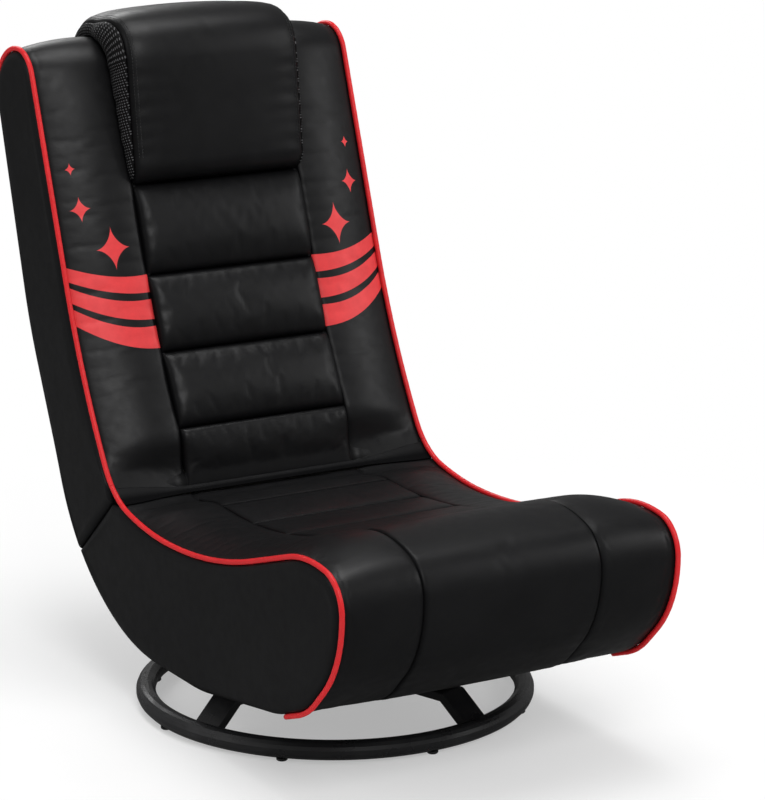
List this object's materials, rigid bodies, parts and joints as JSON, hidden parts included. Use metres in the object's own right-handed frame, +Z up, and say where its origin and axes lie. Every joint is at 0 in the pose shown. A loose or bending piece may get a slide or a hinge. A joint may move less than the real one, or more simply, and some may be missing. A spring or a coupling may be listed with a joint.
{
  "type": "folding floor chair",
  "caption": "Padded floor chair on a swivelling ground ring; the back hinges at the crease and folds down onto the seat.",
  "frame": {"origin": "on the floor, at the middle of the chair's length and width at rest", "axes": "+Z up; the sitter faces -Y; +X is at the sitter's left; rest pose is the open chair, facing square to its feet"},
  "size_m": [0.5045, 0.9243, 0.8335],
  "materials": {
    "black_paint": "satin black powder coat",
    "plate_paint": "satin black powder coat",
    "black_plastic": "moulded, matt",
    "zinc_steel": "zinc plated",
    "plywood": "raw plywood",
    "frame_steel": "black primer",
    "foam": "open-cell foam",
    "black_leather": "smooth coated imitation leather",
    "piping_leather": "red coated imitation leather over a cord",
    "black_cloth": "plain woven polyester",
    "black_mesh": "spacer mesh",
    "zip_cloth": "zip tape"
  },
  "bodies": {
    "base": {"arm_bolts": "zinc_steel", "base_arm_1": "black_paint", "base_arm_2": "black_paint", "base_arm_3": "black_paint", "base_arm_4": "black_paint", "base_ring": "black_paint", "bearing_ring": "black_plastic", "glide_feet": "black_plastic", "lower_swivel_plate": "plate_paint", "swivel_rivet": "zinc_steel"},
    "seat": {"crease_gusset": "black_leather", "crease_piping": "piping_leather", "hinge_pins": "zinc_steel", "seat_base_board": "plywood", "seat_bolster_left": "black_leather", "seat_bolster_right": "black_leather", "seat_bottom_cover": "black_cloth", "seat_cut_cover": "black_cloth", "seat_foam": "foam", "seat_front_panel": "black_leather", "seat_front_tube": "frame_steel", "seat_hinge_board": "plywood", "seat_hinge_leaves": "zinc_steel", "seat_mount_bolts": "zinc_steel", "seat_mount_nuts": "zinc_steel", "seat_piping_left": "piping_leather", "seat_piping_right": "piping_leather", "seat_rail_left": "frame_steel", "seat_rail_right": "frame_steel", "seat_ribs": "black_leather", "seat_side_panel_left": "black_leather", "seat_side_panel_right": "black_leather", "seat_supports": "frame_steel", "seat_zip_tape": "zip_cloth", "upper_swivel_plate": "plate_paint"},
    "back": {"back_bolster_left": "black_leather", "back_bolster_right": "black_leather", "back_channel_1": "black_leather", "back_channel_2": "black_leather", "back_channel_3": "black_leather", "back_channel_4": "black_leather", "back_cut_cover": "black_cloth", "back_foam": "foam", "back_hinge_board": "plywood", "back_hinge_leaves": "zinc_steel", "back_lumbar_tube": "frame_steel", "back_piping_left": "piping_leather", "back_piping_right": "piping_leather", "back_rail_left": "frame_steel", "back_rail_right": "frame_steel", "back_rear_cover": "black_cloth", "back_side_panel_left": "black_leather", "back_side_panel_right": "black_leather", "back_top_panel": "black_leather", "back_top_tube": "frame_steel", "back_zip_tape": "zip_cloth", "headrest_mesh_left": "black_mesh", "headrest_mesh_right": "black_mesh", "headrest_pillow": "black_leather"}
  },
  "joints": [
    {"name": "swivel", "type": "hinge", "parent": "base", "child": "seat", "pos_m": [0, -0.0348, 0.0605], "axis": [0, 0, 1], "continuous": true},
    {"name": "fold", "type": "hinge", "parent": "seat", "child": "back", "pos_m": [0, 0.12746, 0.24886], "axis": [1, 0, 0], "range_deg": [0, 96], "deforming": ["crease_gusset", "crease_piping"]}
  ]
}
